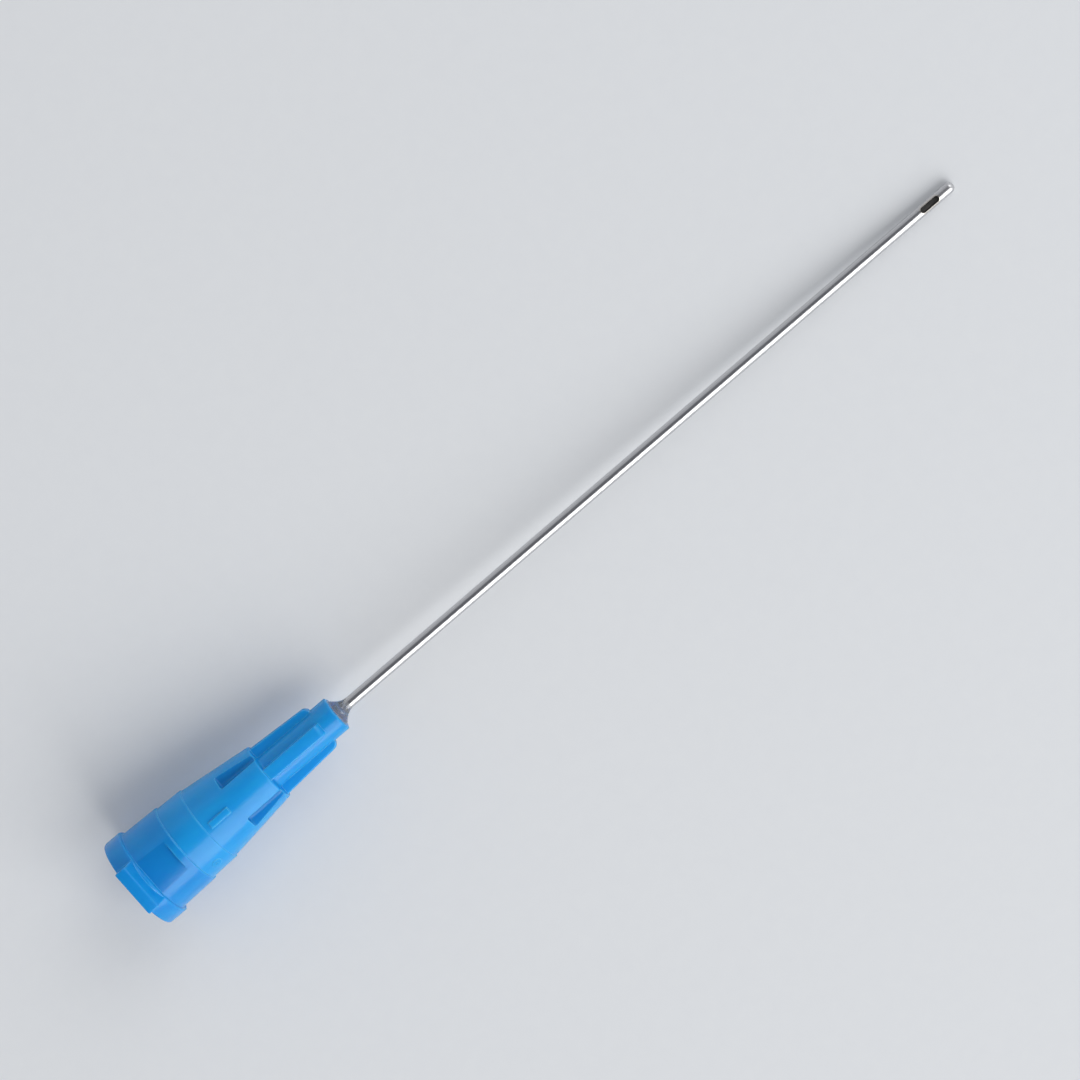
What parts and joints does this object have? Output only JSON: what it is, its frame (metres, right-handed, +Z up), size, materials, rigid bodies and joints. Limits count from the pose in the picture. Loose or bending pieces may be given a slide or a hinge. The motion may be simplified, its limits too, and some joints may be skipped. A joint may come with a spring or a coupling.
{
  "type": "micro cannula",
  "caption": "Blunt micro cannula: a slim closed-tip steel tube with an oval side port, bonded in a blue luer-lock hub with finned nose.",
  "frame": {"origin": "on the surface it lies on, under the middle of its length and width", "axes": "+X along the cannula towards its blunt tip, which lies 3 degrees lower than the hub; +Z up; +Y completes the right-handed frame"},
  "size_m": [0.0666, 0.0064, 0.0078],
  "materials": {
    "blue_plastic": "translucent moulded polypropylene, satin gloss",
    "steel_tube": "polished drawn stainless steel",
    "clear_glue": "clear cured adhesive, glossy"
  },
  "bodies": {
    "root": {"hub": "blue_plastic", "cannula_tube": "steel_tube", "adhesive_bead": "clear_glue"}
  },
  "joints": []
}
